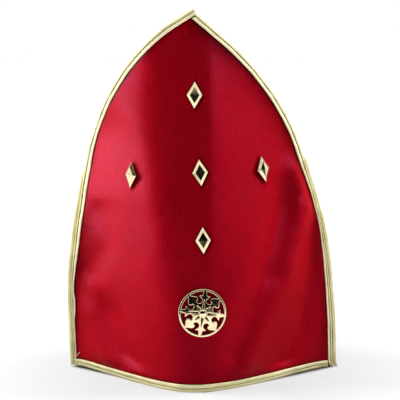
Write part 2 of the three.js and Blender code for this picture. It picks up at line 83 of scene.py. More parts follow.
# one row of values for each section of the hat, from the hem up to the peak
hatForm = {
    "height": (0, 45, 85, 125, 160, 195, 225, 255, 282, 302, 320, 336),
    "middle": (0, -1.5, -3.2, -3.8, -5.2, -7.4, -8.7, -10.5, -12.5, -13.7, -14.2, -11),  # leaning middle line
    "edge": (123.1, 123.1, 121.5, 116.9, 110.3, 102.1, 92.1, 77.6, 59.5, 41.8, 21.9, 0),  # half outline
    "seam": (123.1, 123.1, 121.5, 116.9, 110.3, 102.6, 98.8, 97.8, 97.4, 97.2, 97, 97),  # half tube
    "depth": (80.4, 77.8, 73.6, 67.8, 62.2, 57.4, 54.2, 51.4, 49, 47.4, 46, 44.8),  # seam to ridge
    "leftRound": (0.09, 0.08, 0.07, 0.06) + 8 * (0.05,),  # flare at the seams
    "rightRound": (0.17, 0.14, 0.1, 0.07) + 8 * (0.05,),
    # creases of the front face, x from the middle line: where the left side turns away, and a
    # second turn that runs out to the left edge
    "leftTurn": (-38, -33, -29, -34.5, -37.5, -41, -40.5, -38, -36, -35, -34, -33),
    "upperTurn": (-38, -33, -29, -37, -40.5, -42, -48, -66, -84, -95, -98, -98),
    "pressedShare": (0, 0.03, 0.08, 0.2, 0.27, 0.33, 0.38, 0.4, 0.32, 0.12, 0.02, 0),
    "creased": (0, 0.35, 0.7, 0.95) + 8 * (1,),  # how far the creases have set in
    "upperShare": 5 * (0,) + (0.12, 0.26) + 5 * (0.28,),
    "pressedLine": 6.5,  # upright line right of the middle
    "turnRound": 14,
    "upperRound": 11,
    "pressedRound": 4,
    "rightTurn": 40,
    "rightTurnRound": 45,
    "peak": 336,
    "ridgeShift": -9.9,
    "ridgeRound": (28, 50),  # left and right of the ridge, at the hem
    "seamHalf": (1.45, 0.0017),  # margin from the seam plane at the middle line, and its change with x
    "cornerLift": {"height": 1.8, "start": 30, "reach": 93, "fade": 120},
    "seamLap": {"hem": 3.8, "top": 2.2, "taperFrom": 135, "taperTo": 185},
    "notch": {-1: 192, 1: 204},  # height where the two halves part, left and right
    "notchStep": 6,
    "clothHalf": 1.0,
    "marginHalf": 0.5,
    "gap": 0.3,
}

# folds: a line of places (x from the middle line, z), width, height, the distance over which it is
# calmed beside the tapes, and the length over which it rises from its start
frontHalf = {
    "side": -1,
    "lapped": False,
    "folds": (
        (((88, 212), (98, 166), (94, 140), (79, 91), (59, 56), (41, 23)), 11, 5.0, 8, 25),
        (((98, 156), (91, 126), (84, 104)), 9, 1.8, 6, 0),
        (((78, 170), (66, 130), (48, 78), (29, 31)), 12, -3.4, 22, 0),
        (((74, 158), (66, 128), (57, 100)), 11, -1.8, 22, 0),
        (((113, 138), (105, 119), (98, 78), (90, 42), (73, 14)), 10, -4.8, 9, 0),
        (((-95, 166), (-88, 146), (-84, 132), (-86, 120), (-95, 106), (-102, 96)), 11, -2.2, 8, 15),
        (((-113, 76), (-104, 46), (-97, 28), (-89, 13)), 10, 3.2, 8, 25),
        (((-96, 86), (-80, 54), (-72, 35), (-62, 16)), 11, -5.7, 17, 32),
        (((-101, 164), (-68, 170), (-49, 169)), 15, 0.8, 16, 0),
    ),
}
backHalf = {"side": 1, "lapped": True, "folds": ()}

tape = {
    "width": 7.0,
    "crest": 1.9,
    "lip": 0.95,
    "groove": 0.85,
    "grooveHalf": 0.6,
    "slotHalf": 0.6,
    "slotShares": (1, 0.5, 0.18),  # points across the slot that holds the cloth, in tape widths
    "slotMap": (1, 12),  # its strip of the flat map, past the lip
    "foldRound": 1.7,
    "lipRound": 1.3,
    "insetSteps": 21,  # points across one face of the tape
    "spacing": 0.75,  # millimetres between stations
    "fineSteps": 1200,  # steps along an edge before it is spaced evenly
    "stitchPitch": 3.1,
    "stitchPull": 0.35,  # how much deeper the groove is at a stitch
    "swell": (0.10, 0.07),  # slow and quick rise and fall of the crests along the tape
    "swellLengths": ((6.3, 2.7), (5.1, 2.3)),  # of the outer and the inner band
    "bandEdges": (0.35, 0.65),  # where one padded band gives way to the other
    "peakLap": 0.8,
    "slantCut": {"rise": 2.4, "fade": 18, "curl": 1.5, "curlFrom": 9},
    # the front tapes roll round the seam below the notches: height, and width still on the front
    "rolled": {
        -1: ((0, 46, 54, 66, 74, 80, 112, 165, 192, 336), (3.0, 3.1, 4.2, 4.2, 3.2, 3.2, 5.0, 5.6, 5.9, 5.9)),
        1: ((0, 60, 112, 140, 165, 204, 336), (4.6, 4.4, 3.6, 2.8, 3.2, 5.5, 5.8)),
    },
}


# a value listed by height for the left and the right side, straight between the heights
def sideValue(table, hand, z):
    return np.where(np.asarray(hand) < 0, *(np.interp(z, *table[side]) for side in (-1, 1)))


# width of a side tape on the outer face
def tapeWidth(half, hand, z):
    return np.full(np.shape(z), tape["width"]) if half["lapped"] else sideValue(tape["rolled"], hand, z)


# a soft step: 0 below low, 1 above high, 3t^2 - 2t^3 between
def softStep(value, low, high):
    t = np.clip((value - low) / (high - low), 0, 1)
    return t * t * (3 - 2 * t)


# a rounded corner: distance less its rounding, sqrt(d^2 + r^2) - r
def crease(distance, rounding):
    return np.hypot(distance, rounding) - rounding


# rate of change of a curve, from a small step to either side
def slope(curve, at):
    step = 0.05
    return (curve(at + step) - curve(at - step)) / (2 * step)


# a cubic Hermite curve through one column of the sections, sloped by the neighbouring
# sections, and straight past the last one
def sectionValue(column, z):
    heights = np.asarray(hatForm["height"], float)
    values = np.asarray(hatForm[column], float)
    last = len(heights) - 1
    order = np.arange(last + 1)
    below, above = np.maximum(order - 1, 0), np.minimum(order + 1, last)
    slopes = (values[above] - values[below]) / (heights[above] - heights[below])
    i = np.clip(np.searchsorted(heights, z, side="right") - 1, 0, last - 1)
    span = heights[i + 1] - heights[i]
    t = (z - heights[i]) / span
    curve = (
        values[i] * (2 * t**3 - 3 * t**2 + 1)
        + values[i + 1] * (3 * t**2 - 2 * t**3)
        + slopes[i] * span * (t**3 - 2 * t**2 + t)
        + slopes[i + 1] * span * (t**3 - t**2)
    )
    return np.where(z > heights[last], values[last] + slopes[last] * (z - heights[last]), curve)


# half the outline of one half of the hat: the back one stands proud below the notch
def edgeHalf(half, hand, z):
    edge = sectionValue("edge", z)
    if not half["lapped"]:
        return edge
    lap = hatForm["seamLap"]
    taper = softStep(z, lap["taperFrom"], lap["taperTo"])
    notch = np.where(np.asarray(hand) < 0, hatForm["notch"][-1], hatForm["notch"][1])
    fade = 1 - softStep(z, notch - hatForm["notchStep"], notch)
    return edge + (lap["hem"] + (lap["top"] - lap["hem"]) * taper) * fade


# height of the folds: a bell across each line, with soft steps from its start and from the tapes
def foldHeight(half, x, z):
    total = np.zeros(np.broadcast(x, z).shape)
    inside = edgeHalf(half, np.sign(x), z) - np.abs(x) - tapeWidth(half, x, z)
    inside = np.minimum(inside, z - tape["width"])
    for line, width, rise, calm, fade in half["folds"]:
        away, place, passed = np.full(total.shape, np.inf), np.zeros(total.shape), 0
        for (fromX, fromZ), (toX, toZ) in zip(line, line[1:]):
            runX, runZ = toX - fromX, toZ - fromZ
            length = math.hypot(runX, runZ)
            along = np.clip(((x - fromX) * runX + (z - fromZ) * runZ) / length**2, 0, 1)
            distance = np.hypot(x - fromX - along * runX, z - fromZ - along * runZ)
            place = np.where(distance < away, passed + along * length, place)
            away = np.minimum(away, distance)
            passed += length
        height = rise * np.exp(-((away / width) ** 2)) * softStep(inside, 0, calm)
        total = total + (height * softStep(place, 0, fade) if fade else height)
    return total


# the plain round ridge: 0 on the ridge and 1 at either seam, a hyperbola on each side
def ridgeShare(x, seam):
    shift = hatForm["ridgeShift"]
    onLeft = x < shift
    rounding = np.where(onLeft, *hatForm["ridgeRound"])
    return crease(x - shift, rounding) / crease(np.where(onLeft, -seam, seam) - shift, rounding)


# the creased front: four rounded bends whose shares add up to the whole turn from one seam
# to the other, less its value between the left turn and the pressed line, and 1 at the seams
def creasedShare(x, z, seam):
    left, upper = sectionValue("leftTurn", z), sectionValue("upperTurn", z)
    pressed = hatForm["pressedLine"] - sectionValue("middle", z)
    upperPart, pressedPart = sectionValue("upperShare", z), sectionValue("pressedShare", z)

    def bends(at):
        return (
            (0.5 - upperPart) * np.hypot(at - left, hatForm["turnRound"])
            + upperPart * np.hypot(at - upper, hatForm["upperRound"])
            + pressedPart * np.hypot(at - pressed, hatForm["pressedRound"])
            + (0.5 - pressedPart) * np.hypot(at - hatForm["rightTurn"], hatForm["rightTurnRound"])
        )

    ridge = (left + pressed) / 2
    return (bends(x) - bends(ridge)) / (bends(np.where(x < ridge, -seam, seam)) - bends(ridge))


# how far a half stands out from the seam plane: the ridge falls away to each seam
def bulge(half, x, z):
    seam = sectionValue("seam", z) + (hatForm["seamLap"]["hem"] if half["lapped"] else 0)
    share = ridgeShare(x, seam)
    if not half["lapped"]:
        creased = sectionValue("creased", z)
        share = share * (1 - creased) + creasedShare(x, z, seam) * creased
    rounding = np.where(x < 0, sectionValue("leftRound", z), sectionValue("rightRound", z))
    full = crease(1 - share, rounding) / crease(1.0, rounding)
    margin, slant = hatForm["seamHalf"]
    return margin + slant * x + sectionValue("depth", z) * full + foldHeight(half, x, z)


# lift of the left hem corner: squared towards the corner, and squared towards the hem
def cornerRise(x, z):
    lift = hatForm["cornerLift"]
    across = np.clip((-x - lift["start"]) / lift["reach"], 0, 1)
    upward = np.clip(1 - z / lift["fade"], 0, 1)
    return lift["height"] * across**2 * upward**2


# a point of a half, in metres: x from the middle line, z up, offset along the section's normal
def halfPoint(half, x, z, offset):
    x, z, offset = np.broadcast_arrays(*(np.asarray(v, float) for v in (x, z, offset)))
    rate = slope(lambda at: bulge(half, at, z), x)
    length = np.hypot(rate, 1)
    outward = bulge(half, x, z) + offset / length
    acrossHat = x + sectionValue("middle", z) - offset * rate / length
    return np.stack([acrossHat, half["side"] * outward, z + cornerRise(x, z)], -1) * mm


# the edge's own x, the direction square to it within the cloth, per millimetre, and how much
# wider a level step is than the way square to the edge
def edgeInward(half, hand, z):
    x = hand * edgeHalf(half, hand, z)
    rate = hand * slope(lambda at: edgeHalf(half, hand, at), z)
    lean = slope(lambda at: sectionValue("middle", at), z)
    across = slope(lambda at: bulge(half, at, z), x)
    upward = slope(lambda at: bulge(half, x, at), z)
    e, f, g = 1 + across**2, lean + across * upward, 1 + lean**2 + upward**2
    inX, inZ = -hand * (f * rate + g), hand * (e * rate + f)
    size = np.sqrt(e * inX**2 + 2 * f * inX * inZ + g * inZ**2)
    widen = np.sqrt(e * rate**2 + 2 * f * rate + g) / np.sqrt(e * g - f**2)
    return x, inX / size, inZ / size, widen


# quads of a rows x columns grid, closed on itself across the columns if asked
def gridFaces(rows, columns, closed=False):
    row = np.arange(rows - 1)[:, None] * columns
    here = np.arange(columns if closed else columns - 1)[None, :]
    after = (here + 1) % columns
    return np.stack([row + here, row + after, row + columns + after, row + columns + here], -1).reshape(-1, 4)


# sides and ends of a closed sweep, facing outward: reversed where the ring's own turn points along
# the way it is carried
def sweepFaces(ring):
    rows, columns = ring.shape[:2]
    around = np.arange(columns)
    shapes = gridFaces(rows, columns, closed=True), np.stack([around[::-1], around + (rows - 1) * columns])
    spokes = ring[0] - ring[0].mean(0)
    turn = np.cross(spokes, np.roll(spokes, -1, 0)).sum(0)
    inward = turn @ (ring[1].mean(0) - ring[0].mean(0)) > 0
    return [shape[:, ::-1] if inward else shape for shape in shapes]


# distance run from the first point of a line, or of each row of a grid
def runLength(points):
    steps = np.linalg.norm(np.diff(points, axis=-2), axis=-1)
    return np.concatenate([np.zeros_like(steps[..., :1]), np.cumsum(steps, -1)], -1)


def fullTurn(steps):
    return np.linspace(0, 2 * math.pi, steps, endpoint=False)


def unit(vectors):
    return vectors / np.linalg.norm(vectors, axis=-1, keepdims=True)


def addMesh(name, points, faces, material):
    mesh = bpy.data.meshes.new(name)
    mesh.from_pydata(np.reshape(points, (-1, 3)).tolist(), [], faces)
    mesh.materials.append(material)
    piece = bpy.data.objects.new(name, mesh)
    scene.collection.objects.link(piece)
    return piece


def makePiece(name, points, faces, material, uv=None, marks=None, smooth=True, sharpAngle=None):
    piece = addMesh(name, points, faces, material)
    mesh = piece.data
    mesh.polygons.foreach_set("use_smooth", np.full(len(mesh.polygons), smooth))
    if uv is not None:
        corner = np.empty(len(mesh.loops), int)
        mesh.loops.foreach_get("vertex_index", corner)
        mesh.uv_layers.new(name="cut").data.foreach_set("uv", np.reshape(uv, (-1, 2))[corner].ravel())
    for key, values in (marks or {}).items():
        mesh.attributes.new(key, "FLOAT", "POINT").data.foreach_set("value", np.ravel(values))
    mesh.update()
    if sharpAngle:
        mesh.set_sharp_from_angle(angle=math.radians(sharpAngle))
    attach(piece, "root")
    return piece


waveLength = 0.314  # metres between the bands of a wave texture at a scale of 1


# the nodes of one material, or of the world
class Nodes:
    def __init__(self, owner, shader="Principled BSDF"):
        owner.use_nodes = True
        self.owner = owner
        self.tree = owner.node_tree
        self.shader = self.tree.nodes[shader]

    # a plain value or another node's output, into a socket
    def put(self, value, socket):
        if hasattr(value, "links"):
            self.tree.links.new(value, socket)
        else:
            socket.default_value = value

    def add(self, kind, values=None, **settings):
        node = self.tree.nodes.new("ShaderNode" + kind)
        for key, value in settings.items():
            setattr(node, key, value)
        for key, value in (values or {}).items():
            self.put(value, node.inputs[key])
        return node

    # sockets of the shader, with their spaces written as underscores
    def set(self, **values):
        for key, value in values.items():
            self.put(value, self.shader.inputs[key.replace("_", " ")])

    def coords(self, kind):
        node = self.tree.nodes.get("Texture Coordinate") or self.add("TexCoord")
        return node.outputs[kind]

    def axis(self, kind, letter):
        return self.add("SeparateXYZ", {"Vector": self.coords(kind)}).outputs[letter]

    def mark(self, name):
        return self.add("Attribute", attribute_name=name).outputs["Fac"]

    def noise(self, scale, detail, roughness=0.5, place=None):
        place = self.coords("Object") if place is None else place
        values = {"Vector": place, "Scale": scale, "Detail": detail, "Roughness": roughness}
        return self.add("TexNoise", values).outputs["Fac"]

    # bands across the flat map, a pitch apart
    def bands(self, pitch, direction, wander):
        values = {"Vector": self.coords("UV"), "Scale": waveLength / pitch, "Distortion": wander, "Detail": 1.0}
        return self.add("TexWave", values, bands_direction=direction).outputs["Fac"]

    # a number stretched from one range to another
    def spread(self, source, fromLow, fromHigh, toLow, toHigh):
        values = {"Value": source, "From Min": fromLow, "From Max": fromHigh, "To Min": toLow, "To Max": toHigh}
        return self.add("MapRange", values).outputs["Result"]

    def math(self, operation, *values):
        return self.add("Math", dict(enumerate(values)), operation=operation).outputs[0]

    def mixColour(self, share, first, second):
        return self.add("Mix", {0: share, 6: first, 7: second}, data_type="RGBA").outputs[2]

    def bump(self, height, strength, distance, **under):
        values = {"Height": height, "Strength": strength, "Distance": distance, **under}
        return self.add("Bump", values).outputs["Normal"]


satinLook = {
    "base": (0.447, 0.0006, 0.0072, 1),
    "deep": (0.297, 0.0002, 0.0032, 1),
    "tapeShadow": (0.19, 0.0003, 0.005, 1),
    "shadowLine": (0.1, 1.1),  # millimetres from the tapes
    "paintedBorderShade": 0.42,  # strength of the painted shade along the tapes
    "studShade": 0.75,  # and of the shade beside the metal
    "sheen": 0.057,
    "sheenGone": 0.7,  # in shade this strong
    "sheenTint": (1, 0.29, 1, 1),
    "warpPitch": 0.00042,  # metres
    "weftPitch": 0.00060,
    "weaveBump": (0.25, 0.00012),
    "slubs": ((1, 0.16, 1), (0.16, 1, 1)),  # thicker threads, up and across
    "slubTone": (0.74, 1.26, 0, 0.78),  # from one range to another
    "slubBump": (0.37, 0.0003),
    "cloudTone": (0.3, 0.7, 0, 0.22),
    "roughness": (0.7, 1.3, 0.30, 0.38),
}


def redSatin(look):
    m = Nodes(bpy.data.materials.new("red satin"))
    weave = m.math("ADD", m.bands(look["warpPitch"], "X", 0.6), m.bands(look["weftPitch"], "Y", 0.8))
    slubs = []
    for scale in look["slubs"]:
        stretch = m.add("Mapping", {"Vector": m.coords("UV"), "Scale": scale})
        slubs.append(m.noise(640, 3, 0.6, stretch.outputs["Vector"]))
    thick = m.math("ADD", *slubs)
    tone = m.math("ADD", m.spread(thick, *look["slubTone"]), m.spread(m.noise(34, 3), *look["cloudTone"]))
    shadow = m.spread(m.mark("beyondTape"), *look["shadowLine"], 1, 0)  # dark line along the tapes
    dyed = m.mixColour(shadow, m.mixColour(tone, look["deep"], look["base"]), look["tapeShadow"])
    # painted shade along the tapes, beside the studs and behind the medallion darkens the colour and takes the
    # sheen away
    darker = m.math("MAXIMUM", *(m.math("MULTIPLY", m.mark(name), look[name]) for name in ("paintedBorderShade", "studShade")))
    m.set(
        Base_Color=m.mixColour(darker, dyed, (0, 0, 0, 1)),
        Roughness=m.spread(thick, *look["roughness"]),
        Normal=m.bump(thick, *look["slubBump"], Normal=m.bump(weave, *look["weaveBump"])),
        Specular_IOR_Level=m.spread(darker, 0, look["sheenGone"], look["sheen"], 0),
        Specular_Tint=look["sheenTint"],
    )
    return m.owner


tapeLook = {
    "gold": (0.93, 0.84, 0.54, 1),
    "worn": (0.56, 0.51, 0.26, 1),
    # painted shade in the sewn groove
    "groove": (0.15, 0.13, 0.05, 1),
    "dullBand": (0.0032, 0.0048, 0.75, 0.1),  # duller along the fold: metres from it, and shares
    "rubbed": (0.35, 0.65, -0.1, 0.25),
    "grooveAt": 0.0046,  # metres from the fold, along the section
    "grooveEdge": (0.0003, 0.0010, 0.95, 0),
    "hemTop": (0.008, 0.016),  # below this the hem's tape is duller and its painted groove shade paler
    "hemDull": 0.55,
    "hemGroove": 0.4,
    "ribPitch": 0.00055,
    "ribBump": (0.12, 0.00008),
    "creaseBump": (0.3, 0.0007),
    "grainBump": (0.2, 0.00012),
    "roughness": (0.3, 0.7, 0.46, 0.58),
    "metallic": 0.45,
}


def goldTape(look):
    m = Nodes(bpy.data.materials.new("gold tape"))
    creases = m.noise(150, 4, 0.62)
    fromFold = m.math("ABSOLUTE", m.axis("UV", "Y"))
    height = m.axis("Object", "Z")
    share = m.math("ADD", m.spread(fromFold, *look["dullBand"]), m.spread(m.noise(60, 2), *look["rubbed"]))
    share = m.math("ADD", share, m.spread(height, *look["hemTop"], look["hemDull"], 0))
    dull = m.mixColour(share, look["gold"], look["worn"])
    # painted shade in the sewn groove, paler along the hem
    groove = m.spread(m.math("ABSOLUTE", m.math("SUBTRACT", fromFold, look["grooveAt"])), *look["grooveEdge"])
    deep = m.math("MULTIPLY", groove, m.spread(height, *look["hemTop"], look["hemGroove"], 1))
    ribbed = m.bump(m.bands(look["ribPitch"], "X", 1.2), *look["ribBump"])
    creased = m.bump(creases, *look["creaseBump"], Normal=ribbed)
    m.set(
        Base_Color=m.mixColour(deep, dull, look["groove"]),
        Roughness=m.spread(creases, *look["roughness"]),
        Normal=m.bump(m.noise(900, 3), *look["grainBump"], Normal=creased),
        Metallic=look["metallic"],
    )
    return m.owner


metalLook = {
    "gold": (0.98, 0.84, 0.54, 1),
    "tarnish": (0.70, 0.54, 0.26, 1),
    "tarnished": (0.45, 0.8, 0, 0.8),
    "roughness": (0.3, 0.7, 0.07, 0.20),
}


def polishedGold(look):
    m = Nodes(bpy.data.materials.new("polished gold"))
    smudge = m.noise(180, 4, 0.6)
    m.set(
        Base_Color=m.mixColour(m.spread(smudge, *look["tarnished"]), look["gold"], look["tarnish"]),
        Roughness=m.spread(smudge, *look["roughness"]),
        Normal=m.bump(m.noise(1400, 2), 0.05, 0.0001),  # fine pits
        Metallic=1,
    )
    return m.owner


threadLook = {"light": (0.24, 0.19, 0.08, 1), "dark": (0.10, 0.08, 0.03, 1)}
tailLook = {"light": (0.66, 0.40, 0.28, 1), "dark": (0.42, 0.24, 0.15, 1)}


def sewingThread(name, look):
    m = Nodes(bpy.data.materials.new(name))
    twist = m.noise(1500, 2)
    colour = m.mixColour(m.spread(twist, 0.3, 0.7, 0, 1), look["dark"], look["light"])
    m.set(Base_Color=colour, Normal=m.bump(twist, 0.4, 0.0002), Roughness=0.55, Sheen_Weight=0.15)
    return m.owner


satin = redSatin(satinLook)
gold = goldTape(tapeLook)
metal = polishedGold(metalLook)
thread = sewingThread("sewing thread", threadLook)
tailThread = sewingThread("thread tail", tailLook)
print("materials made")

studs = {
    "width": 13.8,
    "height": 23.6,
    "profile": ((1.0, 0.0), (1.0, 0.5), (0.62, 2.0)),  # share of the outline, and rise
    "apex": 2.9,
    "edgeRound": 0.14,
    "edgeSteps": 2,
    "edgeAngle": 8,  # flatter edges stay as they are
    # x from the middle line, z, turn clockwise in degrees, and how far the shade beside it is moved
    "places": {
        "stud_top": (2.8, 261.4, 5, (0.8, -0.8)),
        "stud_left": (-57.4, 189.6, 9, (2.4, -0.8)),
        "stud_centre": (4.1, 193.4, -2, (0.8, -0.8)),
        "stud_right": (60.8, 193.3, -9, (-2.4, -1.4)),
        "stud_bottom": (3.4, 134.3, 0, (0.6, -0.8)),
    },
    "shadeReach": (0.9, 1.45),  # in outlines of the stud
    "discShade": ((1.9, 70.2), (17.5, 22.6), 0.7),  # behind the medallion: middle, reach and strength
}

cloth = {
    "columns": 121,
    "rows": 181,
    "edgeCrowding": 1.45,  # columns crowd towards the edges, and rows towards the hem
    "hemCrowding": 1.3,
    "tipRoom": 2.6,
    "tipHalf": 0.4,
    "rim": 1.3,  # from the tape's fold to the cloth's raw edge
    "margin": (6.8, 9.6),  # insets over which the cloth gets its full thickness
    "contactGroove": (0.25, 0.5, 0.9),  # beside the tapes: depth, place and half width
    # painted shade along the tapes, left and right: heights with their reach in millimetres, and with their
    # strength
    "paintedShadeReach": {
        -1: ((0, 35, 50, 85, 100, 132, 155, 185, 195), (6, 6, 11, 11, 13, 13, 6, 6, 2)),
        1: ((0, 336), (8, 8)),
    },
    "paintedBorderShade": {
        -1: ((0, 35, 50, 80, 95, 135, 160, 185, 200), (0.5, 0.8, 1.4, 1.4, 1.7, 1.7, 0.8, 0, 1.7)),
        1: ((0, 40, 80, 100, 145, 165, 200), (0.4, 0.7, 0.8, 0.1, 0.1, 0.8, 1.8)),
    },
    "wave": 0.35,
    "slowWaves": ((17, 43), (-61, 23)),  # lengths across and up, of two crossed waves
    "shortWaves": ((9.5, -14), (27, 31)),
    "shortShare": 0.6,
    "backPhase": 1.7,
    "wavesCalm": 14,
    "pucker": 0.16,
    "puckerLengths": (1.9, 7),
    "puckerFade": 5,
    "hemTop": 25,  # puckers run along the hem below this, and up the sides above it
}


# two crossed waves: sin(x/a + z/b + p) sin(x/c + z/d + q)
def crossedWaves(x, z, lengths, p, q):
    (a, b), (c, d) = lengths
    return np.sin(x / a + z / b + p) * np.sin(x / c + z / d + q)


# small unevenness of the cloth: waves all over, and puckers, sin(r/s + 0.8 sin(r/l)) along the edge,
# that fade away from the tapes
def clothRelief(half, x, z, inset):
    width = tape["width"]
    phase = 0.0 if half["side"] < 0 else cloth["backPhase"]
    waves = crossedWaves(x, z, cloth["slowWaves"], phase, 2 * phase)
    waves = waves + cloth["shortShare"] * crossedWaves(x, z, cloth["shortWaves"], 1.1, 0)
    run = np.where(z < cloth["hemTop"], x, z * np.sign(x))
    fade = np.exp(-np.clip(inset - width, 0, None) / cloth["puckerFade"])
    short, long = cloth["puckerLengths"]
    pucker = np.sin(run / short + 0.8 * np.sin(run / long)) * fade * softStep(inset, width - 1, width + 2)
    return cloth["wave"] * waves * softStep(inset, width, width + cloth["wavesCalm"]) + cloth["pucker"] * pucker


# shade on the front cloth: 1 inside each stud's moved rhombus with a soft step to 0 outside it, and
# a soft disc behind the medallion
def studShade(half, x, z):
    shade = np.zeros(np.broadcast(x, z).shape)
    if half["lapped"]:
        return shade
    for studX, studZ, turn, (moveX, moveZ) in studs["places"].values():
        dx, dz = x - studX - moveX, z - studZ - moveZ
        c, s = math.cos(math.radians(turn)), math.sin(math.radians(turn))
        outline = np.abs(dx * c - dz * s) / (studs["width"] / 2) + np.abs(dz * c + dx * s) / (studs["height"] / 2)
        shade = np.maximum(shade, 1 - softStep(outline, *studs["shadeReach"]))
    (discX, discZ), reach, strength = studs["discShade"]
    return np.maximum(shade, strength * (1 - softStep(np.hypot(x - discX, z - discZ), *reach)))


# one half's cloth: a grid from side to side and from hem to peak, as two faces that meet at the rim
def makeCloth(name, half, nodes):
    rows, columns = cloth["rows"], cloth["columns"]
    u = np.linspace(-1, 1, columns)[None, :]
    across = np.sign(u) * (1 - (1 - np.abs(u)) ** cloth["edgeCrowding"])
    v = np.linspace(0, 1, rows)[:, None] ** cloth["hemCrowding"]
    z = cloth["rim"] + (hatForm["peak"] - cloth["tipRoom"] - 2 * cloth["rim"]) * v
    hand = np.where(u < 0, -1, 1)
    edgeX, _, _, widen = edgeInward(half, hand, z + 0 * u)
    x = across * np.maximum(np.abs(edgeX) - cloth["rim"] * widen, cloth["tipHalf"])
    beyond = (np.abs(edgeX) - np.abs(x)) / widen - tapeWidth(half, hand, z)
    beyond = np.minimum(beyond, z - tape["width"])
    inset = beyond + tape["width"]
    thin, full = hatForm["marginHalf"], hatForm["clothHalf"]
    thick = thin + (full - thin) * softStep(inset, *cloth["margin"])
    depth, place, halfWidth = cloth["contactGroove"]
    relief = clothRelief(half, x, z, inset) - depth * np.exp(-(((beyond - place) / halfWidth) ** 2))
    outer, inner = (halfPoint(half, x, z, relief + offset) for offset in (thick, -thick))

    # both faces as one ring, which runs the other way round on the back half
    def bothFaces(first, second):
        ring = np.concatenate([first, second[:, ::-1]], 1)
        return ring if half["side"] < 0 else ring[:, ::-1]

    i = np.arange(columns - 1)
    foot = np.stack([i + 1, i, 2 * columns - 1 - i, 2 * columns - 2 - i], -1)
    faces = gridFaces(rows, 2 * columns, closed=True).tolist()
    faces += foot.tolist() + (foot[:, ::-1] + (rows - 1) * 2 * columns).tolist()
    spread = runLength(outer)
    flat = np.stack(np.broadcast_arrays(spread - spread[:, columns // 2, None], z * mm), -1)
    # painted shade along the tapes, fading with the distance from them
    reach, strength = (sideValue(cloth[key], x, z) for key in ("paintedShadeReach", "paintedBorderShade"))
    borderShade = strength * np.exp(-np.clip(beyond, 0, None) / reach)
    marks = {"beyondTape": beyond, "paintedBorderShade": borderShade, "studShade": studShade(half, x, z)}
    marks = {key: bothFaces(values, values) for key, values in marks.items()}
    piece = makePiece(name, bothFaces(outer, inner), faces, satin, uv=bothFaces(flat, flat), marks=marks)
    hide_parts(*nodes)
    return piece


frontCloth = makeCloth("frontCloth", frontHalf, ["front_panel"])
backCloth = makeCloth("backCloth", backHalf, ["back_panel"])
print("cloth halves made")


# the tape's section: height over the cloth's middle at each inset from the fold, two padded
# bands with a sewn groove between them
def tapeHeight(inset, along, seed):
    width = tape["width"]
    fold = np.sqrt(1 - np.clip(1 - inset / tape["foldRound"], 0, 1) ** 2)
    lip = np.sqrt(1 - np.clip(1 - (width - inset) / tape["lipRound"], 0, 1) ** 2)
    slow, quick = tape["swell"]
    (a, b), (c, d) = tape["swellLengths"]
    outerBand = slow * np.sin(along / a + seed) + quick * np.sin(along / b + 2 * seed)
    innerBand = slow * np.sin(along / c + 3 * seed) + quick * np.sin(along / d + seed)
    share = softStep(inset, *(width * edge for edge in tape["bandEdges"]))
    crest = tape["crest"] * (1 + (outerBand * (1 - share) + innerBand * share))
    pull = 1 + tape["stitchPull"] * np.cos(2 * math.pi * along / tape["stitchPitch"])
    groove = tape["groove"] * pull * np.exp(-(((inset - width / 2) / tape["grooveHalf"]) ** 2))
    height = tape["lip"] + (crest - groove - tape["lip"]) * lip
    return np.where(inset < width / 2, (crest - groove) * fold, height)


# insets of one face from lip to fold, crowded at both ends
def tapeInsets():
    t = np.linspace(0, 1, tape["insetSteps"])
    return tape["width"] * (0.5 + 0.5 * np.cos(math.pi * t))


# a point of a tape: part of the way across it, between a start on the edge and an end inside it
def tapePoint(half, line, share, offset):
    startX, startZ, endX, endZ = line
    return halfPoint(half, startX + (endX - startX) * share, startZ + (endZ - startZ) * share, offset)


# a folded tape: the section is carried along a line of stations
def makeTape(name, half, line, seed, nodes):
    upright = [values[:, None] for values in line]
    insets = tapeInsets()
    face = np.concatenate([insets, insets[::-1][1:]])  # lip, fold, lip
    sign = np.where(np.arange(len(face)) < len(insets), 1, -1)
    along = runLength(tapePoint(half, line, 0, 0)) / mm
    height = sign * tapeHeight(face, along[:, None], seed)
    shares = np.array(tape["slotShares"])
    slotSign = np.repeat((-1, 1), len(shares))
    slot = tapePoint(half, upright, np.concatenate([shares, shares[::-1]]), slotSign * tape["slotHalf"])
    ring = np.concatenate([tapePoint(half, upright, face / tape["width"], height), slot], 1)
    section = runLength(np.column_stack([face, height[0]]))
    section = section - section[len(insets) - 1]  # from the fold
    section = np.concatenate([section, section[-1] + np.linspace(*tape["slotMap"], len(slotSign))])
    uv = np.stack(np.broadcast_arrays(along[:, None], section), -1) * mm
    sides, ends = sweepFaces(ring)
    piece = makePiece(name, ring, sides.tolist() + ends.tolist(), gold, uv=uv)
    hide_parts(*nodes)
    return [piece, makeStitches(name.replace("Tape", "Stitches"), half, line, along, seed)]


stitch = {
    "length": 2.1,
    "radius": 0.34,
    "blunt": 0.86,  # share of the radius lost towards an end
    "rows": 5,
    "around": 6,
    "ends": 5.0,  # no stitches this near a tape's ends
}


